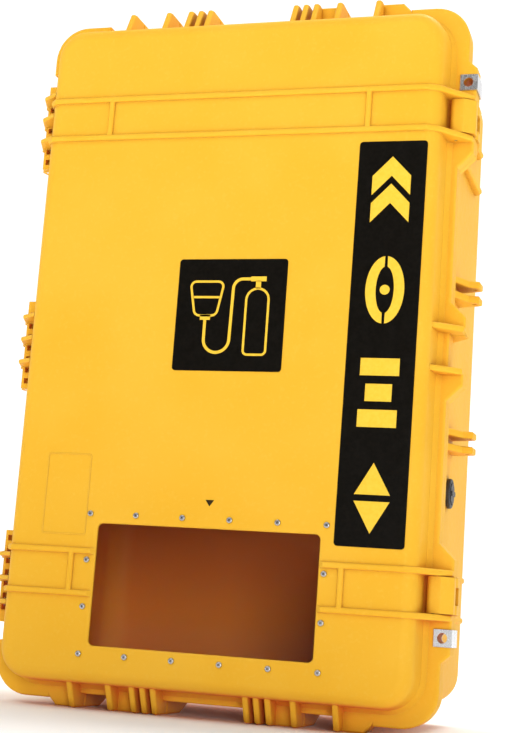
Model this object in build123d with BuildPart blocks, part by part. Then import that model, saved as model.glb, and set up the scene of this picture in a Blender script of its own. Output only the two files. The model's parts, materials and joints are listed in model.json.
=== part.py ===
"""Moulded wall and storage case for a breathing set, standing on one short end.

Millimetres. +Z is up, the lid faces -Y, the hinge is on the -X side and the latches are on the
+X side. The origin is the centre of the footprint on the floor. Depths are counted back from
the lid's flat face, and heights from the level half way between the ribs, latches and hinges.
"""
import os
from math import atan, degrees

from build123d import *

os.makedirs("parts", exist_ok=True)

# --- driving dimensions -------------------------------------------------------------------
HALF_HEIGHT = 411.0          # middle of the shell to the feet, and to the opposite fins
SHELL_SHIFT = -2.5           # height of the shell's middle, a little below the ribs' middle
LID_FACE_Y = -156.0          # the lid's flat face
CASE_DEPTH = 316.0           # lid face to back
WALL = 4.5

FLANGE_FRONT = 44.5          # depth of the lid lip's front
PARTING = 59.0               # depth of the joint between lid and base
FLANGE_BACK = 74.0           # depth of the base lip's back
PARTING_GAP = 0.5

LID_HALF = (238.5, 385.6)    # lid wall at the flange: half width, half height
LID_CORNER = 38.0
LID_DRAFT = 6.0              # degrees
LID_EDGE = 15.0              # rounding of the lid's front edge
LID_SKIRT = 5.0              # slope where the lid's wall meets its lip
BASE_HALF = (240.6, 387.0)   # base wall at the flange
BASE_BACK_HALF_WIDTH = 237.4
BASE_CORNER = 38.0
BASE_EDGE = 33.0             # rounding of the base's back edge

LIP_HALF = (249.1, 395.7)    # plain stretch of the flange
GUARD_HALF = (256.4, 402.8)  # thicker corners of the flange
GUARD_CORNER = 40.0
GUARD_SIDE_END = 343.0       # where a corner guard ends on the long sides
GUARD_TOP_END = 187.0        # where a corner guard ends on the short sides
PAD_REACH = 266.3            # outer edge of the pads on the latch side
PAD_TOP = 326.0              # where a latch pad reaches its full width, nearest the corner
PAD_FOOT = 226.0             # and at its other end
FLANGE_EDGE = 2.5            # rounding of the lid lip's outer edges
BASE_FLANGE_EDGE = 4.0

RIB_HEIGHTS = (-287.4, -240.7, 240.7, 287.4)
RIB_WIDTH = 6.8
RIB_PROUD = 4.0
RIB_ROUND = 2.6              # rounding of the ribs' long edges
CROSS_RIB_X = 154.6
BASE_RIB_REACH = 247.4
BASE_RIB_END = 244.0         # depth at which the ribs on the base walls end

FIN_XS = (52.9, 65.0, 77.7, 105.7, 151.9)
FIN_WIDTH = 7.0
FIN_ROUND = 2.6
MIDDLE_FIN_HEIGHT = 23.4

SEAL_HALF = (243.0, 389.0)   # centre line of the seal groove
SEAL_CORNER = 42.0
TONGUE_WIDTH = 4.0
GROOVE_WIDTH = 6.0
GROOVE_FLOOR = 50.0
SEAL_SECTION = (5.4, 3.8)    # width, depth
TONGUE_TIP = 54.2

WINDOW_HEIGHT = -276.0       # middle of the window's screws
WINDOW_OPENING = (256.0, 134.2)
WINDOW_OPENING_AT = (1.7, -276.3)
WINDOW_EDGE = 1.1            # bevel round the opening
WINDOW_WALL = 3.2            # thickness left in front of the pane
WINDOW_CORNER = 6.0
PANE_SIZE = (292.0, 174.0)
PANE_CORNER = 8.0
PANE_THICKNESS = 4.5
GASKET_THICKNESS = 1.2
GASKET_INSET = 3.0           # how much wider than the opening the gasket's own opening is
SCREW_PITCH = (54.4, 51.35)
SCREW_HOLE_R = 1.8
SCREW_R = 1.6
SCREW_HEAD = (3.3, 1.9)      # radius, height
SCREW_SOCKET = (1.4, 1.3)    # radius, depth
SCREW_TAIL = 1.5             # what stands out behind the nut
WASHER = (3.7, 0.6)
NUT = (3.3, 2.4)             # half across flats, height

STRIP_LABEL = (76.2, 446.4)
STRIP_LABEL_AT = (184.0, 2.8)
STRIP_LABEL_LEAN = -0.35     # degrees
SYMBOL_LABEL = (127.4, 127.8)
SYMBOL_LABEL_AT = (10.0, 29.0)
LABEL_THICKNESS = 0.4
LABEL_CORNER = 4.0
EMBOSS = (53.3, 91.1)
EMBOSS_AT = (-167.2, -177.9)

HINGES = ((272.0, 1), (0.9, 1), (-272.7, -1))    # height, and -1 for the one turned over
HINGE_AXIS = (-258.5, PARTING)                   # X, depth
HINGE_PIN_R = 2.5
KNUCKLE_R = 6.8
HINGE_HALF = 52.7
HINGE_STRIP_REACH = 260.0
HINGE_STRIP_BACK = 50.0
HINGE_WEBS = (29.5, 2.8, -24.4)                  # heights along a hinge
HINGE_WEB_WIDTH = 5.0
HINGE_WINDOWS = (35.8, 22.7, 9.3, -4.0, -17.5, -30.6, -43.8)
HINGE_WINDOW = (7.0, 6.4)
HINGE_WINDOW_X = -253.5
LID_KNUCKLE_HALF = 4.0
KNUCKLE_GAP = 0.6

EYE_AT = (257.2, 308.4)      # centre of each padlock eye: X, height
EYE_HOLE_R = 5.5
PLATE = 18.4
PLATE_THICKNESS = 1.5

LATCH_HEIGHTS = {"lower": -264.05, "upper": 264.05}
LATCH_WIDTH = 38.8
LATCH_PIVOT = (247.5, 36.0)  # X, depth
LEVER_PIVOT = (259.8, 60.0)
LEVER_BARREL_R = 9.0
CLAW_HEAD = ((240.5, 27.8), (256, 27.8), (268.8, 37), (268.8, 50.4), (250.6, 50.4), (250.6, 43),
             (240.5, 43))
LEVER = ((251.8, 54), (265.4, 54), (268.8, 58), (268.4, 76), (260.5, 109), (256.4, 109),
         (253.6, 86), (248.8, 82), (243.5, 81), (243.5, 75.6), (250.6, 75.6))
LATCH_PIN_R = 2.0
LINK_PIN_R = 1.75
RUNNING = 0.05               # radial clearance of a running fit
TONGUE_HALF = 9.0            # half width of the claw's tongue between the lever's cheeks
TONGUE_GAP = 0.4

EAR_HEIGHTS = (-97.3, -80.1, 78.0, 95.2)
EAR_WIDTH = 8.0
EAR_HOLE = (260.0, 141.0)    # X, depth
EAR_HOLE_R = 3.0

VALVE_AT = (132.0, -147.5)   # depth, height
VALVE_SEAT_X = 240.4
VALVE_SEAT_R = 20.0
VALVE_STEM_R = 9.0
VALVE_RIM_R = 17.0
VALVE_SPINDLE_R = 3.0

# --- worked out from them -----------------------------------------------------------------
DATUM_Z = HALF_HEIGHT - SHELL_SHIFT      # the level that heights are counted from
LID_LIP_BACK = PARTING - PARTING_GAP / 2
BASE_LIP_FRONT = PARTING + PARTING_GAP / 2
BASE_DRAFT = degrees(atan((BASE_HALF[0] - BASE_BACK_HALF_WIDTH) / (CASE_DEPTH - FLANGE_BACK)))
PLATE_EDGE = EYE_AT[0] - PLATE / 2
SIGNS = (-1, 1)


def section(depth):
    """Plane across the case at a depth: local x is X, local y is height, extrudes to the front."""
    return Plane(origin=(0, LID_FACE_Y + depth, DATUM_Z), x_dir=(1, 0, 0), z_dir=(0, -1, 0))


def section_back(depth):
    """The same plane seen from the front inside: local x is -X, extrudes to the back."""
    return Plane(origin=(0, LID_FACE_Y + depth, DATUM_Z), x_dir=(-1, 0, 0), z_dir=(0, 1, 0))


def level(height):
    """Level plane: local x is X, local y is depth, extrudes upwards."""
    return Plane(origin=(0, LID_FACE_Y, DATUM_Z + height), x_dir=(1, 0, 0), z_dir=(0, 0, 1))


def upright(x):
    """Upright plane across the width: local x is depth, local y is height, extrudes to +X."""
    return Plane(origin=(x, LID_FACE_Y, DATUM_Z), x_dir=(0, 1, 0), z_dir=(1, 0, 0))


def blade(plane, points, width, edge, across):
    """A flat web of the given width on a plane, with its long edges rounded."""
    with BuildPart() as web:
        with BuildSketch(plane):
            with BuildLine():
                Polyline(*points, close=True)
            make_face()
        extrude(amount=width)
        fillet(web.edges().filter_by(across, reverse=True), edge)
    return web.part


def polygon(points):
    """Adds a closed polygon to the sketch, whichever way round its points run."""
    turn = sum(a[0] * b[1] - b[0] * a[1] for a, b in zip(points, points[1:] + points[:1]))
    with BuildLine() as outline:
        Polyline(*(points if turn > 0 else points[::-1]), close=True)
    make_face(outline.edges())


def shell_outline(half_width, half_height, corner, mode=Mode.ADD):
    """Adds a rounded rectangle about the middle of the shell to the sketch."""
    with Locations((0, SHELL_SHIFT)):
        RectangleRounded(2 * half_width, 2 * half_height, corner, mode=mode)


def seal_ring(width):
    """Adds a ring of the given width on the seal's centre line to the sketch."""
    shell_outline(SEAL_HALF[0] + width / 2, SEAL_HALF[1] + width / 2, SEAL_CORNER + width / 2)
    shell_outline(SEAL_HALF[0] - width / 2, SEAL_HALF[1] - width / 2, SEAL_CORNER - width / 2,
                  mode=Mode.SUBTRACT)


def flange_outline():
    """Outline of the flange: plain stretches, thicker corners, and the pads."""
    with BuildSketch() as outline:
        shell_outline(*GUARD_HALF, GUARD_CORNER)
        for side in SIGNS:
            with Locations((side * (LIP_HALF[0] + 25), SHELL_SHIFT)):
                Rectangle(50, 2 * GUARD_SIDE_END, mode=Mode.SUBTRACT)
            with Locations((0, side * (LIP_HALF[1] + 25) + SHELL_SHIFT)):
                Rectangle(2 * GUARD_TOP_END, 50, mode=Mode.SUBTRACT)
            for end in SIGNS:
                corner_pad = [(151.9, 380), (151.9, HALF_HEIGHT), (178, HALF_HEIGHT),
                              (186, GUARD_HALF[1]), (200, 380)]
                foot_pad = [(FIN_XS[2], 380), (FIN_XS[2], HALF_HEIGHT),
                            (FIN_XS[3], HALF_HEIGHT), (FIN_XS[3], 380)]
                for points in (corner_pad, foot_pad):
                    polygon([(side * x, end * z + SHELL_SHIFT) for x, z in points])
        for end in SIGNS:
            latch_pad = [(240, 346), (GUARD_HALF[0], 346), (GUARD_HALF[0], 335),
                         (PAD_REACH, PAD_TOP), (PAD_REACH, PAD_FOOT), (LIP_HALF[0], 209),
                         (240, 209)]
            middle_pad = [(240, 55), (LIP_HALF[0], 55), (PAD_REACH, 38), (PAD_REACH, 20.5),
                          (240, 20.5)]
            for points in (latch_pad, middle_pad):
                polygon([(x, end * z) for x, z in points])
            with Locations((LIP_HALF[0] + 20, LATCH_HEIGHTS["upper"] * end)):
                Rectangle(40, RIB_HEIGHTS[3] - RIB_HEIGHTS[2] - RIB_WIDTH, mode=Mode.SUBTRACT)
    return outline.sketch


def eye_boxes(front, back, inner):
    """Boxes round both padlock eyes, from one depth to another, and outwards from X = inner."""
    with BuildPart() as boxes:
        for end in SIGNS:
            with BuildSketch(section(back)):
                with Locations((inner + 20, end * EYE_AT[1])):
                    Rectangle(40, PLATE)
            extrude(amount=back - front)
    return boxes.part


def eye_bores(front, back):
    """The bores of both padlock eyes, from one depth to another."""
    with BuildPart() as bores:
        for end in SIGNS:
            with BuildSketch(section(back)):
                with Locations((EYE_AT[0], end * EYE_AT[1])):
                    Circle(EYE_HOLE_R)
            extrude(amount=back - front)
    return bores.part


# --- lid ----------------------------------------------------------------------------------
with BuildPart() as lid_lip:
    with BuildSketch(section(LID_LIP_BACK)):
        add(flange_outline())
    extrude(amount=LID_LIP_BACK - FLANGE_FRONT)
    fillet(lid_lip.faces().sort_by(Axis.Y)[0].edges(), FLANGE_EDGE)

with BuildPart() as lid_cavity:
    with BuildSketch(section(LID_LIP_BACK)):
        shell_outline(LID_HALF[0] - WALL, LID_HALF[1] - WALL, LID_CORNER - WALL)
    extrude(amount=LID_LIP_BACK - WALL, taper=LID_DRAFT * 0.75)
    fillet(lid_cavity.faces().sort_by(Axis.Y)[0].edges(), LID_EDGE - WALL)

# The ribs cross the face, turn over its edge and run out to the flange as gussets.
lid_ribs = []
for height in RIB_HEIGHTS:
    rib_outline = [(-242.5, LID_LIP_BACK), (-242.5, 30), (-236, 4), (-228, -RIB_PROUD),
                   (222, -RIB_PROUD), (234, 2), (PAD_REACH, 38), (PAD_REACH, LID_LIP_BACK)]
    lid_ribs.append(blade(level(height - RIB_WIDTH / 2), rib_outline, RIB_WIDTH, RIB_ROUND, Axis.Z))
for x in (-CROSS_RIB_X, CROSS_RIB_X):
    for end in SIGNS:
        reach = [(-RIB_PROUD + 0.4, end * RIB_HEIGHTS[2]), (-RIB_PROUD + 0.4, end * RIB_HEIGHTS[3]),
                 (2, end * RIB_HEIGHTS[3]), (2, end * RIB_HEIGHTS[2])]
        lid_ribs.append(blade(upright(x - RIB_WIDTH / 2), reach, RIB_WIDTH, RIB_ROUND, Axis.X))

# Fins on the short ends rise from the lid wall to the height of the feet.
lid_fins = []
for side in SIGNS:
    for end in SIGNS:
        for x in FIN_XS:
            profile = [(10, 372), (30, HALF_HEIGHT - 1.5), (36, HALF_HEIGHT),
                       (LID_LIP_BACK, HALF_HEIGHT), (LID_LIP_BACK, 372)]
            lid_fins.append(blade(upright(side * x - FIN_WIDTH / 2),
                                  [(depth, end * z + SHELL_SHIFT) for depth, z in profile],
                                  FIN_WIDTH, FIN_ROUND, Axis.X))
for height in (-MIDDLE_FIN_HEIGHT, MIDDLE_FIN_HEIGHT):
    middle_outline = [(226, LID_LIP_BACK), (226, 6), (PAD_REACH, 38), (PAD_REACH, LID_LIP_BACK)]
    lid_fins.append(blade(level(height - RIB_WIDTH / 2), middle_outline, RIB_WIDTH, RIB_ROUND,
                          Axis.Z))

with BuildPart() as lid_body:
    with BuildSketch(section(FLANGE_FRONT + 2)):
        shell_outline(*LID_HALF, LID_CORNER)
    extrude(amount=FLANGE_FRONT + 2, taper=LID_DRAFT)
    fillet(lid_body.faces().sort_by(Axis.Y)[0].edges(), LID_EDGE)
    with BuildSketch(section(FLANGE_FRONT + 1)):
        shell_outline(LID_HALF[0] + LID_SKIRT, LID_HALF[1] + LID_SKIRT, LID_CORNER + LID_SKIRT)
    extrude(amount=LID_SKIRT + 3, taper=38)
    add(lid_lip.part)

with BuildPart() as lid_end_fins:
    add(lid_fins)
    add(lid_body.part, mode=Mode.SUBTRACT)
lid_end_fins.part.label = "lid_fins"
export_step(lid_end_fins.part, "parts/lid_fins.step")

with BuildPart() as lid_shell:
    add(lid_body.part)
    add(lid_ribs)
    # the hinge strip in front of the knuckles, the lid's knuckles and their webs
    for centre, turned in HINGES:
        with BuildSketch(level(centre - HINGE_HALF)):
            polygon([(-240, FLANGE_FRONT), (-HINGE_STRIP_REACH, FLANGE_FRONT),
                     (-HINGE_STRIP_REACH, HINGE_STRIP_BACK), (-248, HINGE_STRIP_BACK),
                     (-248, LID_LIP_BACK), (-240, LID_LIP_BACK)])
        extrude(amount=2 * HINGE_HALF)
        for web in HINGE_WEBS:
            with BuildSketch(level(centre + turned * web - LID_KNUCKLE_HALF)):
                with Locations(HINGE_AXIS):
                    Circle(KNUCKLE_R)
                polygon([(-248, FLANGE_FRONT), (-HINGE_STRIP_REACH, FLANGE_FRONT),
                         (HINGE_AXIS[0] - KNUCKLE_R, HINGE_STRIP_BACK),
                         (HINGE_AXIS[0] - KNUCKLE_R, PARTING), (HINGE_AXIS[0], PARTING),
                         (-248, HINGE_STRIP_BACK + 2)])
            extrude(amount=2 * LID_KNUCKLE_HALF)
            web_outline = [(-234, 8), (-255.4, 23.5), (HINGE_AXIS[0] - KNUCKLE_R, HINGE_STRIP_BACK),
                           (HINGE_AXIS[0] - KNUCKLE_R, PARTING - 2), (-234, HINGE_STRIP_BACK)]
            add(blade(level(centre + turned * web - HINGE_WEB_WIDTH / 2), web_outline,
                      HINGE_WEB_WIDTH, 1.6, Axis.Z))
        for window in HINGE_WINDOWS:
            with BuildSketch(level(centre + turned * window - HINGE_WINDOW[1] / 2)):
                with Locations((HINGE_WINDOW_X, FLANGE_FRONT)):
                    Rectangle(HINGE_WINDOW[0], 2 * (HINGE_STRIP_BACK - FLANGE_FRONT) + 1)
            extrude(amount=HINGE_WINDOW[1], mode=Mode.SUBTRACT)
        with Locations((HINGE_AXIS[0], LID_FACE_Y + HINGE_AXIS[1], DATUM_Z + centre)):
            Cylinder(HINGE_PIN_R + RUNNING, 2 * HINGE_HALF + 2, mode=Mode.SUBTRACT)
    add(lid_cavity.part, mode=Mode.SUBTRACT)
    # seal groove
    with BuildSketch(section(LID_LIP_BACK)):
        seal_ring(GROOVE_WIDTH)
    extrude(amount=LID_LIP_BACK - GROOVE_FLOOR, mode=Mode.SUBTRACT)
    # window opening and its screw holes
    with BuildSketch(section(WALL + 6)):
        with Locations(WINDOW_OPENING_AT):
            RectangleRounded(*WINDOW_OPENING, WINDOW_CORNER)
    extrude(amount=WALL + 16, mode=Mode.SUBTRACT)
    with BuildSketch(section(WINDOW_EDGE)):
        with Locations(WINDOW_OPENING_AT):
            RectangleRounded(*WINDOW_OPENING, WINDOW_CORNER)
    extrude(amount=WINDOW_EDGE + RIB_PROUD + 1, taper=-45, mode=Mode.SUBTRACT)
    # flat pocket behind the face, for the pane
    with BuildSketch(section(WALL + 12)):
        with Locations((0, WINDOW_HEIGHT)):
            RectangleRounded(PANE_SIZE[0] + 2, PANE_SIZE[1] + 2, PANE_CORNER + 1)
    extrude(amount=WALL + 12 - WINDOW_WALL, mode=Mode.SUBTRACT)
    # faint raised frame
    with BuildSketch(section(0)):
        with Locations(EMBOSS_AT):
            RectangleRounded(*EMBOSS, 3)
            RectangleRounded(EMBOSS[0] - 2.4, EMBOSS[1] - 2.4, 2, mode=Mode.SUBTRACT)
    extrude(amount=0.5)
    # seats of the padlock inserts, and latch pin holes
    add(eye_boxes(FLANGE_FRONT, LID_LIP_BACK, PLATE_EDGE), mode=Mode.SUBTRACT)
    for centre in LATCH_HEIGHTS.values():
        with Locations((LATCH_PIVOT[0], LID_FACE_Y + LATCH_PIVOT[1], DATUM_Z + centre)):
            Cylinder(LATCH_PIN_R, RIB_HEIGHTS[3] - RIB_HEIGHTS[2] + RIB_WIDTH, mode=Mode.SUBTRACT)

screw_points = []
for column in range(6):
    for row in range(4):
        if column in (0, 5) or row in (0, 3):
            screw_points.append(((column - 2.5) * SCREW_PITCH[0],
                                 WINDOW_HEIGHT + (row - 1.5) * SCREW_PITCH[1]))

with BuildPart() as screw_holes:
    with BuildSketch(section(WALL + 2)):
        with Locations(*screw_points):
            Circle(SCREW_HOLE_R)
    extrude(amount=WALL + 4)

with BuildPart() as lid_shell_drilled:
    add(lid_shell.part)
    add(screw_holes.part, mode=Mode.SUBTRACT)
lid_shell_drilled.part.label = "lid_shell"
export_step(lid_shell_drilled.part, "parts/lid_shell.step")

with BuildPart() as lid_padlock_inserts:
    add(lid_lip.part)
    add(eye_boxes(FLANGE_FRONT, LID_LIP_BACK, PLATE_EDGE), mode=Mode.INTERSECT)
    add(eye_bores(FLANGE_FRONT, LID_LIP_BACK), mode=Mode.SUBTRACT)
lid_padlock_inserts.part.label = "lid_padlock_inserts"
export_step(lid_padlock_inserts.part, "parts/lid_padlock_inserts.step")

with BuildPart() as lid_seal:
    with BuildSketch(section(GROOVE_FLOOR + SEAL_SECTION[1])):
        seal_ring(SEAL_SECTION[0])
    extrude(amount=SEAL_SECTION[1])
lid_seal.part.label = "lid_seal"
export_step(lid_seal.part, "parts/lid_seal.step")

# --- window -------------------------------------------------------------------------------
with BuildPart() as window_gasket:
    with BuildSketch(section(WINDOW_WALL + GASKET_THICKNESS)):
        with Locations((0, WINDOW_HEIGHT)):
            RectangleRounded(*PANE_SIZE, PANE_CORNER)
        with Locations(WINDOW_OPENING_AT):
            RectangleRounded(WINDOW_OPENING[0] + 2 * GASKET_INSET,
                             WINDOW_OPENING[1] + 2 * GASKET_INSET,
                             WINDOW_CORNER + GASKET_INSET, mode=Mode.SUBTRACT)
        with Locations(*screw_points):
            Circle(SCREW_HOLE_R, mode=Mode.SUBTRACT)
    extrude(amount=GASKET_THICKNESS)
window_gasket.part.label = "window_gasket"
export_step(window_gasket.part, "parts/window_gasket.step")

PANE_BACK = WINDOW_WALL + GASKET_THICKNESS + PANE_THICKNESS
with BuildPart() as window_pane:
    with BuildSketch(section(PANE_BACK)):
        with Locations((0, WINDOW_HEIGHT)):
            RectangleRounded(*PANE_SIZE, PANE_CORNER)
        with Locations(*screw_points):
            Circle(SCREW_HOLE_R, mode=Mode.SUBTRACT)
    extrude(amount=PANE_THICKNESS)
window_pane.part.label = "window_pane"
export_step(window_pane.part, "parts/window_pane.step")

NUT_BACK = PANE_BACK + WASHER[1] + NUT[1]
with BuildPart() as window_screws:
    with BuildSketch(section(0)):
        with Locations(*screw_points):
            Circle(SCREW_HEAD[0])
    extrude(amount=SCREW_HEAD[1])
    fillet(window_screws.faces().sort_by(Axis.Y)[:16].edges(), 1.1)
    with BuildSketch(section(-SCREW_HEAD[1])):
        with Locations(*screw_points):
            RegularPolygon(SCREW_SOCKET[0], 6)
    extrude(amount=-SCREW_SOCKET[1], mode=Mode.SUBTRACT)
    with BuildSketch(section(NUT_BACK + SCREW_TAIL)):
        with Locations(*screw_points):
            Circle(SCREW_R)
    extrude(amount=NUT_BACK + SCREW_TAIL)
window_screws.part.label = "window_screws"
export_step(window_screws.part, "parts/window_screws.step")

with BuildPart() as window_washers:
    with BuildSketch(section(PANE_BACK + WASHER[1])):
        with Locations(*screw_points):
            Circle(WASHER[0])
            Circle(SCREW_HOLE_R, mode=Mode.SUBTRACT)
    extrude(amount=WASHER[1])
window_washers.part.label = "window_washers"
export_step(window_washers.part, "parts/window_washers.step")

with BuildPart() as window_nuts:
    with BuildSketch(section(NUT_BACK)):
        with Locations(*screw_points):
            RegularPolygon(NUT[0], 6, major_radius=False)
            Circle(SCREW_R, mode=Mode.SUBTRACT)
    extrude(amount=NUT[1])
window_nuts.part.label = "window_nuts"
export_step(window_nuts.part, "parts/window_nuts.step")

# --- labels -------------------------------------------------------------------------------
with BuildPart() as strip_label:
    with BuildSketch(section(0)):
        with Locations(Location((*STRIP_LABEL_AT, 0), (0, 0, STRIP_LABEL_LEAN))):
            RectangleRounded(*STRIP_LABEL, LABEL_CORNER)
    extrude(amount=LABEL_THICKNESS)
strip_label.part.label = "strip_label"
export_step(strip_label.part, "parts/strip_label.step")

with BuildPart() as symbol_label:
    with BuildSketch(section(0)):
        with Locations(SYMBOL_LABEL_AT):
            RectangleRounded(*SYMBOL_LABEL, LABEL_CORNER)
    extrude(amount=LABEL_THICKNESS)
symbol_label.part.label = "symbol_label"
export_step(symbol_label.part, "parts/symbol_label.step")

# --- base ---------------------------------------------------------------------------------
with BuildPart() as base_lip:
    with BuildSketch(section_back(BASE_LIP_FRONT)):
        add(mirror(flange_outline(), Plane.YZ, mode=Mode.PRIVATE))
    extrude(amount=FLANGE_BACK - BASE_LIP_FRONT)
    fillet(base_lip.faces().sort_by(Axis.Y)[-1].edges(), BASE_FLANGE_EDGE)

with BuildPart() as base_cavity:
    with BuildSketch(section_back(BASE_LIP_FRONT)):
        shell_outline(BASE_HALF[0] - WALL, BASE_HALF[1] - WALL, BASE_CORNER - WALL)
    extrude(amount=CASE_DEPTH - WALL - BASE_LIP_FRONT, taper=BASE_DRAFT)
    fillet(base_cavity.faces().sort_by(Axis.Y)[-1].edges(), BASE_EDGE - WALL)

base_ribs = []
for height in RIB_HEIGHTS:
    left_rib = [(-230, BASE_LIP_FRONT), (-BASE_RIB_REACH - 1, BASE_LIP_FRONT),
                (-BASE_RIB_REACH, 100), (-BASE_RIB_REACH, BASE_RIB_END - 6),
                (-BASE_RIB_REACH + 4, BASE_RIB_END + 2), (-230, BASE_RIB_END + 2)]
    right_rib = [(230, BASE_LIP_FRONT), (PAD_REACH, BASE_LIP_FRONT), (PAD_REACH, 70),
                 (BASE_RIB_REACH, 96), (BASE_RIB_REACH, BASE_RIB_END - 6),
                 (BASE_RIB_REACH - 4, BASE_RIB_END + 2), (230, BASE_RIB_END + 2)]
    for points in (left_rib, right_rib):
        base_ribs.append(blade(level(height - RIB_WIDTH / 2), points, RIB_WIDTH, RIB_ROUND, Axis.Z))
for height in (-MIDDLE_FIN_HEIGHT, MIDDLE_FIN_HEIGHT):
    middle_outline = [(230, BASE_LIP_FRONT), (PAD_REACH, BASE_LIP_FRONT), (PAD_REACH, 78),
                      (236, 112), (230, 112)]
    base_ribs.append(blade(level(height - RIB_WIDTH / 2), middle_outline, RIB_WIDTH, RIB_ROUND,
                           Axis.Z))

# Fins on the short ends: the lower ones are the feet.
base_fins = []
for side in SIGNS:
    for end in SIGNS:
        for x in FIN_XS:
            profile = [(BASE_LIP_FRONT, 376), (BASE_LIP_FRONT, HALF_HEIGHT), (106, HALF_HEIGHT),
                       (138, 398), (148, 376)]
            base_fins.append(blade(upright(side * x - FIN_WIDTH / 2),
                                   [(depth, end * z + SHELL_SHIFT) for depth, z in profile],
                                   FIN_WIDTH, FIN_ROUND, Axis.X))

with BuildPart() as base_body:
    with BuildSketch(section_back(BASE_LIP_FRONT + 2)):
        shell_outline(*BASE_HALF, BASE_CORNER)
    extrude(amount=CASE_DEPTH - BASE_LIP_FRONT - 2, taper=BASE_DRAFT)
    fillet(base_body.faces().sort_by(Axis.Y)[-1].edges(), BASE_EDGE)

with BuildPart() as base_shell:
    add(base_body.part)
    # flat seat for the purge valve, outside and inside the wall
    with BuildSketch(upright(VALVE_SEAT_X - 18)):
        with Locations(VALVE_AT):
            Circle(VALVE_SEAT_R)
    extrude(amount=18)
    add(base_cavity.part, mode=Mode.SUBTRACT)
    with BuildSketch(upright(VALVE_SEAT_X - 30)):
        with Locations(VALVE_AT):
            Circle(VALVE_STEM_R)
    extrude(amount=60, mode=Mode.SUBTRACT)
base_shell.part.label = "base_shell"
export_step(base_shell.part, "parts/base_shell.step")

with BuildPart() as base_flange:
    add(base_lip.part)
    # the base's hinge knuckles
    for centre, turned in HINGES:
        ends = [HINGE_HALF]
        for web in HINGE_WEBS:
            ends += [web + LID_KNUCKLE_HALF + KNUCKLE_GAP, web - LID_KNUCKLE_HALF - KNUCKLE_GAP]
        ends.append(-HINGE_HALF)
        for high, low in zip(ends[::2], ends[1::2]):
            with BuildSketch(level(centre + min(turned * high, turned * low))):
                with Locations(HINGE_AXIS):
                    Circle(KNUCKLE_R)
                polygon([(-245, BASE_LIP_FRONT), (HINGE_AXIS[0], BASE_LIP_FRONT),
                         (HINGE_AXIS[0] - KNUCKLE_R, PARTING + 1),
                         (HINGE_AXIS[0] - KNUCKLE_R + 2, FLANGE_BACK - 6),
                         (HINGE_AXIS[0], FLANGE_BACK), (-240, FLANGE_BACK + 12),
                         (-236, FLANGE_BACK)])
            extrude(amount=high - low)
        with Locations((HINGE_AXIS[0], LID_FACE_Y + HINGE_AXIS[1], DATUM_Z + centre)):
            Cylinder(HINGE_PIN_R, 2 * HINGE_HALF + 2, mode=Mode.SUBTRACT)
    add(base_body.part, mode=Mode.SUBTRACT)
    add(base_cavity.part, mode=Mode.SUBTRACT)
    # tongue that presses into the lid's seal
    with BuildSketch(section(BASE_LIP_FRONT + 1)):
        seal_ring(TONGUE_WIDTH)
    extrude(amount=BASE_LIP_FRONT + 1 - TONGUE_TIP)

for name, webs in (("base_ribs", base_ribs), ("base_fins", base_fins)):
    with BuildPart() as base_webs:
        add(webs)
        add(base_body.part, mode=Mode.SUBTRACT)
        add(base_lip.part, mode=Mode.SUBTRACT)
        add(base_flange.part, mode=Mode.SUBTRACT)
    base_webs.part.label = name
    export_step(base_webs.part, f"parts/{name}.step")

inserts_inner = BASE_HALF[0] - WALL - 1
with BuildPart() as base_flange_cut:
    add(base_flange.part)
    add(eye_boxes(TONGUE_TIP, FLANGE_BACK, inserts_inner), mode=Mode.SUBTRACT)
base_flange_cut.part.label = "base_flange"
export_step(base_flange_cut.part, "parts/base_flange.step")

with BuildPart() as base_padlock_inserts:
    add(base_flange.part)
    add(eye_boxes(TONGUE_TIP, FLANGE_BACK, inserts_inner), mode=Mode.INTERSECT)
    add(eye_bores(TONGUE_TIP, FLANGE_BACK), mode=Mode.SUBTRACT)
base_padlock_inserts.part.label = "base_padlock_inserts"
export_step(base_padlock_inserts.part, "parts/base_padlock_inserts.step")

# Ears for a carrying handle stand on the base's wall, on the latch side.
with BuildPart() as handle_ears:
    for height in EAR_HEIGHTS:
        ear_outline = [(230, 86), (238, 88), (256, 127), (267, 131), (267.6, 150), (258, 154),
                       (238, 160), (230, 160)]
        add(blade(level(height - EAR_WIDTH / 2), ear_outline, EAR_WIDTH, 2.0, Axis.Z))
    add(base_body.part, mode=Mode.SUBTRACT)
    with BuildSketch(level(EAR_HEIGHTS[0] - EAR_WIDTH)):
        with Locations(EAR_HOLE):
            Circle(EAR_HOLE_R)
    extrude(amount=EAR_HEIGHTS[3] - EAR_HEIGHTS[0] + 2 * EAR_WIDTH, mode=Mode.SUBTRACT)
handle_ears.part.label = "handle_ears"
export_step(handle_ears.part, "parts/handle_ears.step")

# --- hinge pins ---------------------------------------------------------------------------
with BuildPart() as hinge_pins:
    with Locations(*[(HINGE_AXIS[0], LID_FACE_Y + HINGE_AXIS[1], DATUM_Z + centre)
                     for centre, turned in HINGES]):
        Cylinder(HINGE_PIN_R, 2 * HINGE_HALF)
hinge_pins.part.label = "hinge_pins"
export_step(hinge_pins.part, "parts/hinge_pins.step")

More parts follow.
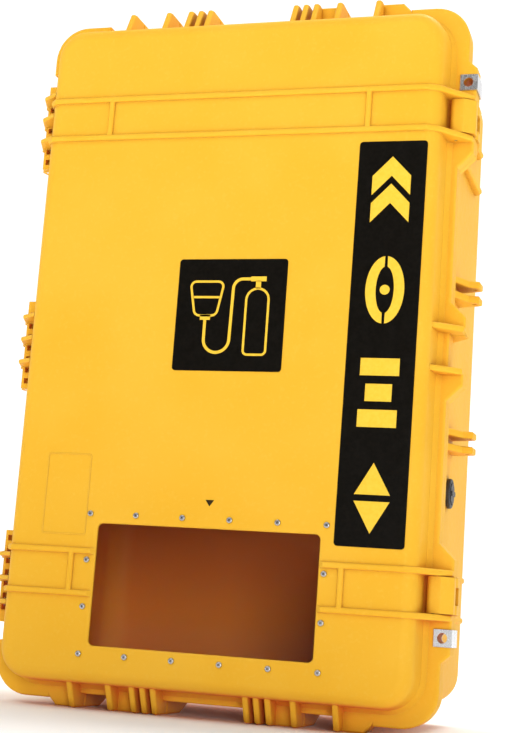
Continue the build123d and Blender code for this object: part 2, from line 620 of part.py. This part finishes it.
# --- padlock plates -----------------------------------------------------------------------
# Each plate lies on one face of its lip and folds over the outer edge.
for name, face_depth, edge_depth in (("lid_padlock_plates", FLANGE_FRONT, LID_LIP_BACK),
                                     ("base_padlock_plates", FLANGE_BACK, BASE_LIP_FRONT)):
    outward = PLATE_THICKNESS if face_depth > edge_depth else -PLATE_THICKNESS
    with BuildPart() as plates:
        for end in SIGNS:
            with BuildSketch(level(end * EYE_AT[1] - PLATE / 2)):
                with BuildLine():
                    Polyline((EYE_AT[0] - PLATE / 2, face_depth),
                             (EYE_AT[0] - PLATE / 2, face_depth + outward),
                             (PAD_REACH + PLATE_THICKNESS, face_depth + outward),
                             (PAD_REACH + PLATE_THICKNESS, edge_depth),
                             (PAD_REACH, edge_depth), (PAD_REACH, face_depth), close=True)
                make_face()
            extrude(amount=PLATE)
        add(eye_bores(face_depth - 5, face_depth + 5), mode=Mode.SUBTRACT)
    plates.part.label = name
    export_step(plates.part, f"parts/{name}.step")

# --- latches ------------------------------------------------------------------------------
# A claw turns on a pin between two lid ribs, and a lever on the claw hooks behind the base lip.
for name, centre in LATCH_HEIGHTS.items():
    with BuildPart() as pivot_pin:
        with Locations((LATCH_PIVOT[0], LID_FACE_Y + LATCH_PIVOT[1], DATUM_Z + centre)):
            Cylinder(LATCH_PIN_R, RIB_HEIGHTS[3] - RIB_HEIGHTS[2] + RIB_WIDTH)
    pivot_pin.part.label = f"{name}_latch_pivot_pin"
    export_step(pivot_pin.part, f"parts/{name}_latch_pivot_pin.step")

    with BuildPart() as claw:
        with BuildSketch(level(centre - LATCH_WIDTH / 2)) as head:
            polygon(list(CLAW_HEAD))
            fillet(head.vertices().sort_by(Axis.X)[:2], 6)
            fillet(head.vertices().sort_by(Axis.X)[-2:], 4)
        extrude(amount=LATCH_WIDTH)
        with BuildSketch(level(centre - TONGUE_HALF)):
            with Locations((LEVER_PIVOT[0], 54)):
                Rectangle(12, 12)
            with Locations(LEVER_PIVOT):
                Circle(6)
        extrude(amount=2 * TONGUE_HALF)
        with Locations((LATCH_PIVOT[0], LID_FACE_Y + LATCH_PIVOT[1], DATUM_Z + centre)):
            Cylinder(LATCH_PIN_R + RUNNING, 60, mode=Mode.SUBTRACT)
        with Locations((LEVER_PIVOT[0], LID_FACE_Y + LEVER_PIVOT[1], DATUM_Z + centre)):
            Cylinder(LINK_PIN_R, 60, mode=Mode.SUBTRACT)
    claw.part.label = f"{name}_latch_claw"
    export_step(claw.part, f"parts/{name}_latch_claw.step")

    with BuildPart() as link_pin:
        with Locations((LEVER_PIVOT[0], LID_FACE_Y + LEVER_PIVOT[1], DATUM_Z + centre)):
            Cylinder(LINK_PIN_R, LATCH_WIDTH)
    link_pin.part.label = f"{name}_latch_link_pin"
    export_step(link_pin.part, f"parts/{name}_latch_link_pin.step")

    with BuildPart() as lever:
        with BuildSketch(level(centre - LATCH_WIDTH / 2)):
            polygon(list(LEVER))
            with Locations(LEVER_PIVOT):
                Circle(LEVER_BARREL_R)
        extrude(amount=LATCH_WIDTH)
        with Locations((LEVER_PIVOT[0], LID_FACE_Y + 58, DATUM_Z + centre)):
            Box(30, 20, 2 * (TONGUE_HALF + TONGUE_GAP), mode=Mode.SUBTRACT)
        with Locations((LEVER_PIVOT[0], LID_FACE_Y + LEVER_PIVOT[1], DATUM_Z + centre)):
            Cylinder(LINK_PIN_R + RUNNING, 60, mode=Mode.SUBTRACT)
    lever.part.label = f"{name}_latch_lever"
    export_step(lever.part, f"parts/{name}_latch_lever.step")

# --- purge valve --------------------------------------------------------------------------
# Local z of this plane points out of the case, from the flat seat.
VALVE = Plane(origin=(VALVE_SEAT_X, LID_FACE_Y + VALVE_AT[0], DATUM_Z + VALVE_AT[1]),
              x_dir=(0, 1, 0), z_dir=(1, 0, 0))
with BuildPart() as purge_valve_washer:
    with BuildSketch(VALVE):
        Circle(15)
        Circle(VALVE_STEM_R + 0.5, mode=Mode.SUBTRACT)
    extrude(amount=1)
purge_valve_washer.part.label = "purge_valve_washer"
export_step(purge_valve_washer.part, "parts/purge_valve_washer.step")

with BuildPart() as purge_valve_body:
    with BuildSketch(VALVE.offset(1)):
        Circle(VALVE_RIM_R)
    extrude(amount=4.4)
    fillet(purge_valve_body.faces().sort_by(Axis.X)[-1].edges(), 2)
    with BuildSketch(VALVE.offset(2.6)):
        Circle(13)
    extrude(amount=6, mode=Mode.SUBTRACT)
    with BuildSketch(VALVE.offset(1.5)):
        Circle(VALVE_STEM_R - 0.2)
    extrude(amount=-19.5)
    with BuildSketch(VALVE.offset(-18)):
        Circle(VALVE_SPINDLE_R + RUNNING)
    extrude(amount=24, mode=Mode.SUBTRACT)
    with BuildSketch(VALVE.offset(-18)):
        Circle(5.6)
    extrude(amount=13, mode=Mode.SUBTRACT)
purge_valve_body.part.label = "purge_valve_body"
export_step(purge_valve_body.part, "parts/purge_valve_body.step")

with BuildPart() as purge_valve_nut:
    with BuildSketch(VALVE.offset(-14.4)):
        RegularPolygon(13, 6, major_radius=False)
        Circle(VALVE_STEM_R - 0.2, mode=Mode.SUBTRACT)
    extrude(amount=5)
purge_valve_nut.part.label = "purge_valve_nut"
export_step(purge_valve_nut.part, "parts/purge_valve_nut.step")

with BuildPart() as purge_valve_knob:
    with BuildSketch(VALVE.offset(2.9)):
        Circle(12.4)
    extrude(amount=3.3)
    with BuildSketch(VALVE.offset(6.2)):
        SlotOverall(22, 6)
    extrude(amount=1.4)
    fillet(purge_valve_knob.faces().sort_by(Axis.X)[-1].edges(), 0.6)
    with BuildSketch(VALVE.offset(3)):
        with PolarLocations(12.6, 10, start_angle=18):
            Circle(1.2)
    extrude(amount=4, mode=Mode.SUBTRACT)
    with BuildSketch(VALVE.offset(3.2)):
        Circle(VALVE_SPINDLE_R)
    extrude(amount=-11.5)
purge_valve_knob.part.label = "purge_valve_knob"
export_step(purge_valve_knob.part, "parts/purge_valve_knob.step")
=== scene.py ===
"""Looks of the moulded storage case: studio, camera, materials and the printed marks.

Metres, in the frame of the CAD model: +Z up, the lid faces -Y, the latches are on +X.
"""
import json
from math import cos, pi, radians, sin

import bmesh
import bpy
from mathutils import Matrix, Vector


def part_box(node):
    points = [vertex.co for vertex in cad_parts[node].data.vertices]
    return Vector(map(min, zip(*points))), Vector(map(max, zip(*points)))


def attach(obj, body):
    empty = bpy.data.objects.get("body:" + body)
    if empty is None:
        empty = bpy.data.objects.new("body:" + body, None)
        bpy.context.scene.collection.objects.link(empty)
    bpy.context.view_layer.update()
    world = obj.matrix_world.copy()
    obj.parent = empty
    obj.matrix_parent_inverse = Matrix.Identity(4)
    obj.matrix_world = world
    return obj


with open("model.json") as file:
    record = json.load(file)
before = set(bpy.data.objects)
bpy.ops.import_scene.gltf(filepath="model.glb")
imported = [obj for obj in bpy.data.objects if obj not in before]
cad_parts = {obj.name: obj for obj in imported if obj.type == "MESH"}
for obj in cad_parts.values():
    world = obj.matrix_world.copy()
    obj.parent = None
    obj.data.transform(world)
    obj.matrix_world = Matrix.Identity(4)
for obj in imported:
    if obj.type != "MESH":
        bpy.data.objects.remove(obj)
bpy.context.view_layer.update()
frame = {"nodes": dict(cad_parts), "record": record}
nodes = frame["nodes"]
scene = bpy.context.scene
MM = 0.001


# --- node helpers -------------------------------------------------------------------------
def new_material(name):
    """A material with an empty node tree and its output node."""
    material = bpy.data.materials.new(name)
    material.use_nodes = True
    material.node_tree.nodes.clear()
    output = material.node_tree.nodes.new("ShaderNodeOutputMaterial")
    return material, output


def add_node(tree, kind, settings=None, **inputs):
    """Adds a node, sets its properties, and sets or links its inputs by name."""
    node = tree.nodes.new(kind)
    for key, value in (settings or {}).items():
        setattr(node, key, value)
    for key, value in inputs.items():
        wanted = int(key[2:]) if key.startswith("in") else key.replace("_", " ")
        socket = node.inputs[wanted]
        if isinstance(value, bpy.types.NodeSocket):
            tree.links.new(value, socket)
        else:
            socket.default_value = value
    return node


def noise(tree, scale, detail=2.0, roughness=0.5):
    """Noise over the piece's own coordinates; scale is in features per metre."""
    place = add_node(tree, "ShaderNodeTexCoord")
    return add_node(tree, "ShaderNodeTexNoise", Vector=place.outputs["Object"], Scale=scale,
                    Detail=detail, Roughness=roughness).outputs["Fac"]


def remap(tree, value, low, high, to_low, to_high):
    """Maps a value from one range to another, clamped."""
    return add_node(tree, "ShaderNodeMapRange", None, Value=value, From_Min=low, From_Max=high,
                    To_Min=to_low, To_Max=to_high).outputs["Result"]


def mix_colour(tree, factor, first, second):
    """Blends two colours by a factor."""
    node = tree.nodes.new("ShaderNodeMix")
    node.data_type = "RGBA"
    for socket, value in ((node.inputs["Factor"], factor), (node.inputs[6], first),
                          (node.inputs[7], second)):
        if isinstance(value, bpy.types.NodeSocket):
            tree.links.new(value, socket)
        else:
            socket.default_value = value
    return node.outputs[2]


def bump(tree, height, distance, strength=1.0, normal=None):
    """A bump of the given height in metres, on top of another normal."""
    node = add_node(tree, "ShaderNodeBump", None, Height=height, Distance=distance,
                    Strength=strength)
    if normal is not None:
        tree.links.new(normal, node.inputs["Normal"])
    return node.outputs["Normal"]


# --- materials ----------------------------------------------------------------------------
YELLOW = (0.890, 0.490, 0.042, 1)
# pale tone of the specks in the grain, and of the painted edge highlight
YELLOW_PALE = (0.930, 0.590, 0.090, 1)
YELLOW_DEEP = (0.875, 0.465, 0.032, 1)
# painted shade colour for creases
YELLOW_CREASE_SHADE = (0.450, 0.165, 0.007, 1)
# painted bounce colour for enclosed places
YELLOW_PAINTED_BOUNCE = (0.930, 0.260, 0.050, 1)
EDGE_ROUNDING = 1.4 * MM
CREASE_REACH = 14 * MM           # how far the painted crease shade reaches
INSIDE_REACH = 700 * MM          # nothing within this distance means open air
RECESS_REACH = 2.5 * MM
# painted shade colour for recesses
RECESS_PAINTED_SHADE = (0.03, 0.025, 0.02, 1)


def moulded_yellow(name, gloss=0.0):
    """Satin moulded plastic: fine grain, slow colour drift, painted highlights on the edges and
    painted shade in the creases.

    Enclosed places are painted redder, standing in for light that has bounced many times in a yellow
    box.
    """
    material, output = new_material(name)
    tree = material.node_tree
    rounded = add_node(tree, "ShaderNodeBevel", {"samples": 6}, Radius=EDGE_ROUNDING).outputs["Normal"]
    plain = add_node(tree, "ShaderNodeNewGeometry").outputs["Normal"]
    along = add_node(tree, "ShaderNodeVectorMath", {"operation": "DOT_PRODUCT"}, in0=rounded,
                     in1=plain).outputs["Value"]
    # Painted highlight: where the rounded normal turns off the flat one, at the edges, the colour is
    # lightened.
    painted_edge_highlight = remap(tree, along, 0.80, 0.99, 0.55, 0.0)
    drift = mix_colour(tree, remap(tree, noise(tree, 9, 3), 0.35, 0.65, 0, 1), YELLOW, YELLOW_DEEP)
    specks = remap(tree, noise(tree, 240, 2), 0.55, 0.75, 0, 0.2)
    drift = mix_colour(tree, specks, drift, YELLOW_PALE)
    # Painted shade: within CREASE_REACH of other surfaces the plastic is darkened towards a deep
    # orange.
    painted_shade_ao = add_node(tree, "ShaderNodeAmbientOcclusion", {"samples": 6},
                        Distance=CREASE_REACH).outputs["AO"]
    drift = mix_colour(tree, remap(tree, painted_shade_ao, 0.25, 0.85, 0.8, 0.0), drift, YELLOW_CREASE_SHADE)
    # Painted bounce light: where nothing is open within INSIDE_REACH, the plastic is turned redder.
    enclosed = add_node(tree, "ShaderNodeAmbientOcclusion", {"samples": 12},
                        Distance=INSIDE_REACH).outputs["AO"]
    drift = mix_colour(tree, remap(tree, enclosed, 0.01, 0.09, 1.0, 0.0), drift, YELLOW_PAINTED_BOUNCE)
    colour = mix_colour(tree, painted_edge_highlight, drift, YELLOW_PALE)
    rough = remap(tree, noise(tree, 130, 3), 0.3, 0.7, 0.44 - gloss, 0.54 - gloss)
    surface = bump(tree, noise(tree, 14, 1), 0.5 * MM, 0.35, rounded)
    surface = bump(tree, noise(tree, 1700, 2, 0.6), 0.05 * MM, 0.5, surface)
    shader = add_node(tree, "ShaderNodeBsdfPrincipled", None, Base_Color=colour, Roughness=rough,
                      Normal=surface)
    shader.inputs["Specular IOR Level"].default_value = 0.05
    tree.links.new(shader.outputs["BSDF"], output.inputs["Surface"])
    return material


def moulded_black(name):
    """Black moulded plastic with a fine matt grain."""
    material, output = new_material(name)
    tree = material.node_tree
    colour = mix_colour(tree, noise(tree, 300, 3), (0.010, 0.010, 0.011, 1), (0.028, 0.028, 0.030, 1))
    rough = remap(tree, noise(tree, 500, 2), 0.3, 0.7, 0.38, 0.55)
    rounded = add_node(tree, "ShaderNodeBevel", {"samples": 4}, Radius=0.5 * MM).outputs["Normal"]
    surface = bump(tree, noise(tree, 2200, 2), 0.05 * MM, 0.6, rounded)
    shader = add_node(tree, "ShaderNodeBsdfPrincipled", None, Base_Color=colour, Roughness=rough,
                      Normal=surface)
    tree.links.new(shader.outputs["BSDF"], output.inputs["Surface"])
    return material


def seal_rubber(name):
    """Soft black rubber, dusty and rough."""
    material, output = new_material(name)
    tree = material.node_tree
    colour = mix_colour(tree, noise(tree, 180, 4), (0.012, 0.012, 0.012, 1), (0.040, 0.038, 0.036, 1))
    rough = remap(tree, noise(tree, 90, 2), 0.3, 0.7, 0.65, 0.85)
    surface = bump(tree, noise(tree, 900, 3), 0.1 * MM, 0.5)
    shader = add_node(tree, "ShaderNodeBsdfPrincipled", None, Base_Color=colour, Roughness=rough,
                      Normal=surface)
    tree.links.new(shader.outputs["BSDF"], output.inputs["Surface"])
    return material


def sheet_steel(name, tone, grain_axis):
    """Stainless steel with fine lines along one axis, small scuffs and painted shade in its recesses.
    """
    material, output = new_material(name)
    tree = material.node_tree
    place = add_node(tree, "ShaderNodeTexCoord").outputs["Object"]
    stretch = [2600.0, 2600.0, 2600.0]
    stretch[grain_axis] = 90.0
    lines_at = add_node(tree, "ShaderNodeMapping", None, Vector=place,
                        Scale=stretch).outputs["Vector"]
    lines = add_node(tree, "ShaderNodeTexNoise", None, Vector=lines_at, Scale=1.0,
                     Detail=3.0).outputs["Fac"]
    scuffs = remap(tree, noise(tree, 420, 4, 0.65), 0.52, 0.70, 0, 1)
    colour = mix_colour(tree, lines, tone, tuple(0.82 * c for c in tone[:3]) + (1,))
    # Painted shade: recesses within RECESS_REACH are darkened towards near black.
    painted_shade_ao = add_node(tree, "ShaderNodeAmbientOcclusion", {"samples": 8},
                        Distance=RECESS_REACH).outputs["AO"]
    colour = mix_colour(tree, remap(tree, painted_shade_ao, 0.25, 0.75, 0.95, 0.0), colour, RECESS_PAINTED_SHADE)
    rough = remap(tree, lines, 0.3, 0.7, 0.20, 0.34)
    rough = add_node(tree, "ShaderNodeMath", {"operation": "MULTIPLY_ADD"}, in0=scuffs, in1=0.12,
                     in2=rough).outputs["Value"]
    rounded = add_node(tree, "ShaderNodeBevel", {"samples": 4}, Radius=0.35 * MM).outputs["Normal"]
    surface = bump(tree, lines, 0.02 * MM, 0.5, rounded)
    shader = add_node(tree, "ShaderNodeBsdfPrincipled", None, Base_Color=colour, Roughness=rough,
                      Normal=surface)
    shader.inputs["Metallic"].default_value = 1.0
    tree.links.new(shader.outputs["BSDF"], output.inputs["Surface"])
    return material


def clear_pane(name):
    """Clear sheet plastic: see-through, faintly tinted, glossy, with light haze and dust."""
    material, output = new_material(name)
    tree = material.node_tree
    haze = remap(tree, noise(tree, 60, 4, 0.6), 0.45, 0.75, 0.002, 0.010)
    see = add_node(tree, "ShaderNodeBsdfTransparent", None,
                   Color=(0.96, 0.94, 0.92, 1)).outputs["BSDF"]
    dust = add_node(tree, "ShaderNodeBsdfDiffuse", None,
                    Color=(0.75, 0.60, 0.45, 1)).outputs["BSDF"]
    rough = remap(tree, noise(tree, 40, 2), 0.3, 0.7, 0.03, 0.09)
    gloss = add_node(tree, "ShaderNodeBsdfAnisotropic", None, Color=(1, 1, 1, 1),
                     Roughness=rough).outputs["BSDF"]
    facing = add_node(tree, "ShaderNodeFresnel", None, IOR=1.12).outputs["Fac"]
    hazy = add_node(tree, "ShaderNodeMixShader", None, Fac=haze, in1=see,
                    in2=dust).outputs["Shader"]
    glossy = add_node(tree, "ShaderNodeMixShader", None, Fac=facing, in1=hazy,
                      in2=gloss).outputs["Shader"]
    tree.links.new(glossy, output.inputs["Surface"])
    return material


def printed_film(name, dark, light, scale=260):
    """A printed label film: satin, faintly mottled and slightly uneven."""
    material, output = new_material(name)
    tree = material.node_tree
    colour = mix_colour(tree, remap(tree, noise(tree, scale, 3), 0.35, 0.65, 0, 1), dark, light)
    rough = remap(tree, noise(tree, 70, 2), 0.3, 0.7, 0.30, 0.42)
    surface = bump(tree, noise(tree, 45, 2), 0.15 * MM, 0.5)
    surface = bump(tree, noise(tree, 1400, 2), 0.02 * MM, 0.4, surface)
    shader = add_node(tree, "ShaderNodeBsdfPrincipled", None, Base_Color=colour, Roughness=rough,
                      Normal=surface)
    shader.inputs["Specular IOR Level"].default_value = 0.08
    tree.links.new(shader.outputs["BSDF"], output.inputs["Surface"])
    return material


mark_yellow = printed_film("mark_yellow", (0.91, 0.56, 0.045, 1), (0.94, 0.60, 0.060, 1))
pointer_black = printed_film("pointer_black", (0.030, 0.018, 0.006, 1), (0.050, 0.030, 0.010, 1))
MATERIALS = {
    "yellow_shell": moulded_yellow("shell_yellow"),
    "yellow_latch": moulded_yellow("latch_yellow", gloss=0.06),
    "black_plastic": moulded_black("black_plastic"),
    "seal_rubber": seal_rubber("black_rubber"),
    "clear_pane": clear_pane("pane_plastic"),
    "steel_hardware": sheet_steel("screw_steel", (0.60, 0.60, 0.62, 1), 1),
    "plate_steel": sheet_steel("bright_steel", (0.74, 0.74, 0.75, 1), 2),
    "label_black": printed_film("label_black", (0.0035, 0.0028, 0.0016, 1),
                                (0.006, 0.0046, 0.003, 1)),
}
for entry in frame["record"]["subparts"]:
    part = nodes[entry["node"]]
    part.data.materials.clear()
    part.data.materials.append(MATERIALS[entry["material_slot"]])


# --- printed marks ------------------------------------------------------------------------
def flat_piece(name, outlines, face_y, thickness, material, body):
    """Flat shapes standing off a face towards -Y, one closed outline of (x, z) points each."""
    mesh = bmesh.new()
    for outline in outlines:
        front = [mesh.verts.new((x, face_y - thickness, z)) for x, z in outline]
        back = [mesh.verts.new((x, face_y, z)) for x, z in outline]
        mesh.faces.new(front)
        mesh.faces.new(back[::-1])
        for i in range(len(outline)):
            j = (i + 1) % len(outline)
            mesh.faces.new((front[j], front[i], back[i], back[j]))
    bmesh.ops.recalc_face_normals(mesh, faces=mesh.faces)
    bmesh.ops.triangulate(mesh, faces=[f for f in mesh.faces if len(f.verts) > 4])
    data = bpy.data.meshes.new(name)
    mesh.to_mesh(data)
    mesh.free()
    piece = bpy.data.objects.new(name, data)
    scene.collection.objects.link(piece)
    data.materials.append(material)
    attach(piece, body)
    return piece


def arc(centre, radius, start, end, steps=24):
    """Points along an arc, angles in degrees."""
    turn = [radians(start + (end - start) * i / steps) for i in range(steps + 1)]
    return [(centre[0] + radius * cos(a), centre[1] + radius * sin(a)) for a in turn]


def ribbon(points, width, closed=False):
    """A line of even width along points, as closed outlines, one for each run, mitred."""
    count = len(points)
    lefts, rights = [], []
    for i, point in enumerate(points):
        before = Vector(points[i - 1] if (closed or i) else points[0])
        after = Vector(points[(i + 1) % count] if (closed or i < count - 1) else points[-1])
        here = Vector(point)
        ahead = (after - here).normalized() if (after - here).length else (here - before).normalized()
        behind = (here - before).normalized() if (here - before).length else ahead
        middle = (ahead + behind).normalized()
        side = Vector((-middle.y, middle.x))
        reach = width / 2 / max(0.35, side.dot(Vector((-ahead.y, ahead.x))))
        lefts.append(here + side * reach)
        rights.append(here - side * reach)
    runs = []
    for i in range(count if closed else count - 1):
        j = (i + 1) % count
        runs.append([tuple(lefts[i]), tuple(lefts[j]), tuple(rights[j]), tuple(rights[i])])
    return runs


strip_low, strip_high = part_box("strip_label")
strip_x = (strip_low.x + strip_high.x) / 2
strip_height = strip_high.z - strip_low.z
strip_face = strip_low.y
STRIP_LEAN = radians(0.35)       # the strip's top leans to +X
MARK_HALF_WIDTH = 21.5 * MM
MARK_HALF_HEIGHT = 37.5 * MM
MARK_THICKNESS = 0.12 * MM
CHEVRON_BAND = 22 * MM           # upright thickness of a chevron, and its rise
BAR_PITCH = 28 * MM
BAR_HALF_HEIGHT = 9.5 * MM
RING_HOLE = (10 * MM, 26 * MM)   # half width and half height
DIAMOND_HALF_GAP = 3.5 * MM
mark_step = strip_height * 0.253
mark_heights = [strip_height * (0.5 - 0.124) - mark_step * i for i in range(4)]


def chevrons():
    """Two bold chevrons, one above the other, pointing up."""
    shapes = []
    for foot in (-MARK_HALF_HEIGHT, MARK_HALF_HEIGHT - 2 * CHEVRON_BAND):
        for side in (-1, 1):
            shapes.append([(side * MARK_HALF_WIDTH, foot), (0, foot + CHEVRON_BAND),
                           (0, foot + 2 * CHEVRON_BAND),
                           (side * MARK_HALF_WIDTH, foot + CHEVRON_BAND)])
    return shapes


def disc_in_ring():
    """A small disc in a tall oval ring, which is cut in two at its ends."""
    shapes = [arc((0, 0), 5.5 * MM, 0, 360, 32)[:-1]]
    for side in (-1, 1):
        outer = arc((0, 0), 1, -86, 86, 32)
        inner = arc((0, 0), 1, 80, -80, 32)
        shapes.append([(side * MARK_HALF_WIDTH * x, MARK_HALF_HEIGHT * z) for x, z in outer]
                      + [(side * RING_HOLE[0] * x, RING_HOLE[1] * z) for x, z in inner])
    return shapes


def stacked_bars():
    """Three thick level bars, the middle one shorter."""
    shapes = []
    for row, share in ((1, 1.0), (0, 0.68), (-1, 1.0)):
        half = share * MARK_HALF_WIDTH
        low = row * BAR_PITCH - BAR_HALF_HEIGHT
        high = row * BAR_PITCH + BAR_HALF_HEIGHT
        shapes.append([(-half, low), (half, low), (half, high), (-half, high)])
    return shapes


def split_diamond():
    """A tall diamond with a gap across its middle."""
    half = MARK_HALF_WIDTH * (1 - DIAMOND_HALF_GAP / MARK_HALF_HEIGHT)
    return [[(-half, side * DIAMOND_HALF_GAP), (half, side * DIAMOND_HALF_GAP),
             (0, side * MARK_HALF_HEIGHT)] for side in (-1, 1)]


strip_shapes = []
strip_z = (strip_low.z + strip_high.z) / 2
for design, height in zip((chevrons, disc_in_ring, stacked_bars, split_diamond), mark_heights):
    for outline in design():
        strip_shapes.append([(strip_x + x * cos(STRIP_LEAN) + (z + height) * sin(STRIP_LEAN),
                              strip_z - x * sin(STRIP_LEAN) + (z + height) * cos(STRIP_LEAN))
                             for x, z in outline])
flat_piece("strip_label_marks", strip_shapes, strip_face, MARK_THICKNESS, mark_yellow, "lid")


def symbol_shapes(x, z):
    """A plain pictogram of a face mask joined by a hose to a gas cylinder."""
    line = 2.6 * MM
    cylinder_x, cylinder_half = x + 31 * MM, 13 * MM
    top, bottom = z + 17 * MM, z - 45 * MM
    shoulder = arc((cylinder_x, top), cylinder_half, 0, 180, 20)
    foot = (arc((cylinder_x - cylinder_half + 5 * MM, bottom + 5 * MM), 5 * MM, 180, 270, 6)
            + arc((cylinder_x + cylinder_half - 5 * MM, bottom + 5 * MM), 5 * MM, 270, 360, 6))
    runs = ribbon(shoulder + foot, line, closed=True)
    neck = top + cylinder_half
    runs += ribbon([(cylinder_x, neck), (cylinder_x, neck + 9 * MM)], 6 * MM)
    runs += ribbon([(cylinder_x - 9 * MM, neck + 11 * MM), (cylinder_x + 9 * MM, neck + 11 * MM)],
                   5.5 * MM)
    mask_x, mask_z = x - 29 * MM, z + 20 * MM
    visor = (arc((mask_x - 13 * MM, mask_z + 12 * MM), 6 * MM, 180, 90, 6)
             + arc((mask_x + 13 * MM, mask_z + 12 * MM), 6 * MM, 90, 0, 6)
             + arc((mask_x + 7 * MM, mask_z - 14 * MM), 7 * MM, -10, -90, 6)
             + arc((mask_x - 7 * MM, mask_z - 14 * MM), 7 * MM, 270, 190, 6))
    runs += ribbon(visor, line, closed=True)
    runs += ribbon([(mask_x - 16 * MM, mask_z), (mask_x + 16 * MM, mask_z)], line)
    port = mask_z - 26 * MM
    runs.append([(mask_x - 6 * MM, port), (mask_x + 6 * MM, port), (mask_x + 6 * MM, port + 6 * MM),
                 (mask_x - 6 * MM, port + 6 * MM)])
    bend = arc((mask_x + 15 * MM, z - 28 * MM), 15 * MM, 180, 360, 20)
    turn = arc((cylinder_x - 18 * MM, neck), 11 * MM, 180, 90, 10)
    hose = [(mask_x, port)] + bend + turn + [(cylinder_x - 9 * MM, neck + 11 * MM)]
    runs += ribbon(hose, 3.4 * MM)
    return runs


symbol_low, symbol_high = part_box("symbol_label")
flat_piece("symbol_label_marks",
           symbol_shapes((symbol_low.x + symbol_high.x) / 2, (symbol_low.z + symbol_high.z) / 2),
           symbol_low.y, MARK_THICKNESS, mark_yellow, "lid")

window_low, window_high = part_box("window_pane")
lid_face_y = strip_high.y
pointer_x = (window_low.x + window_high.x) / 2 + 3 * MM
pointer_z = window_high.z + 11 * MM
flat_piece("window_pointer", [[(pointer_x - 5 * MM, pointer_z), (pointer_x, pointer_z - 7 * MM),
                               (pointer_x + 5 * MM, pointer_z)]],
           lid_face_y, MARK_THICKNESS, pointer_black, "lid")


# --- studio -------------------------------------------------------------------------------
FLOOR_RADIUS = 12
FLOOR_SIDES = 64


def paper_floor():
    """A wide pale floor, which glows away from the case so that it meets the backdrop."""
    material, output = new_material("paper")
    tree = material.node_tree
    colour = mix_colour(tree, noise(tree, 3, 2), (0.93, 0.93, 0.93, 1), (0.95, 0.95, 0.95, 1))
    shader = add_node(tree, "ShaderNodeBsdfPrincipled", None, Base_Color=colour, Roughness=0.9)
    shader.inputs["Specular IOR Level"].default_value = 0.1
    place = add_node(tree, "ShaderNodeTexCoord").outputs["Object"]
    away = add_node(tree, "ShaderNodeVectorMath", {"operation": "LENGTH"}, in0=place).outputs["Value"]
    glow = remap(tree, away, 0.5, 1.9, 0.0, 0.65)
    tree.links.new(glow, shader.inputs["Emission Strength"])
    shader.inputs["Emission Color"].default_value = (1, 1, 1, 1)
    tree.links.new(shader.outputs["BSDF"], output.inputs["Surface"])
    mesh = bpy.data.meshes.new("floor")
    turns = [2 * pi * i / FLOOR_SIDES for i in range(FLOOR_SIDES)]
    rim = [(FLOOR_RADIUS * cos(turn), FLOOR_RADIUS * sin(turn), 0) for turn in turns]
    mesh.from_pydata(rim, [], [list(range(FLOOR_SIDES))])
    floor = bpy.data.objects.new("floor", mesh)
    mesh.materials.append(material)
    scene.collection.objects.link(floor)


def softbox(name, place, target, size, power):
    """A square area light aimed at a point."""
    data = bpy.data.lights.new(name, "AREA")
    data.energy = power
    data.size = size
    light = bpy.data.objects.new(name, data)
    light.location = place
    light.rotation_euler = (Vector(target) - Vector(place)).to_track_quat("-Z", "Y").to_euler()
    scene.collection.objects.link(light)


def studio_sky():
    """White surroundings, dim in front of the lid and dimmer on the latch side."""
    world = bpy.data.worlds.new("studio")
    scene.world = world
    world.use_nodes = True
    tree = world.node_tree
    tree.nodes.clear()
    way = add_node(tree, "ShaderNodeTexCoord").outputs["Generated"]
    parts = add_node(tree, "ShaderNodeSeparateXYZ", None, Vector=way).outputs
    across = remap(tree, parts["X"], 0.55, 0.95, 1.0, 0.18)
    back = remap(tree, parts["Y"], -0.45, 0.05, 0.20, 1.15)
    strength = add_node(tree, "ShaderNodeMath", {"operation": "MULTIPLY"}, in0=across,
                        in1=back).outputs["Value"]
    light = add_node(tree, "ShaderNodeBackground", None, Color=(1, 1, 1, 1), Strength=strength)
    output = add_node(tree, "ShaderNodeOutputWorld")
    tree.links.new(light.outputs["Background"], output.inputs["Surface"])


paper_floor()
studio_sky()
softbox("key", (-0.9, -2.3, 3.1), (0, 0, 0.40), 1.3, 30)
softbox("fill", (1.3, -2.8, 0.5), (0, -0.1, 0.15), 0.9, 27)
softbox("top", (0.7, 0.9, 3.3), (0.5, 0.5, 0), 1.6, 60)

CAMERA_AT = (0.517, -1.648, 0.1109)
CAMERA_TURN = (99.95, -4.01, 16.70)      # degrees about X, Y and Z
lens = bpy.data.cameras.new("camera")
lens.lens = 70.9
lens.sensor_width = 36
camera = bpy.data.objects.new("camera", lens)
camera.location = CAMERA_AT
camera.rotation_euler = [radians(a) for a in CAMERA_TURN]
scene.collection.objects.link(camera)
scene.camera = camera
scene.view_settings.view_transform = "Standard"
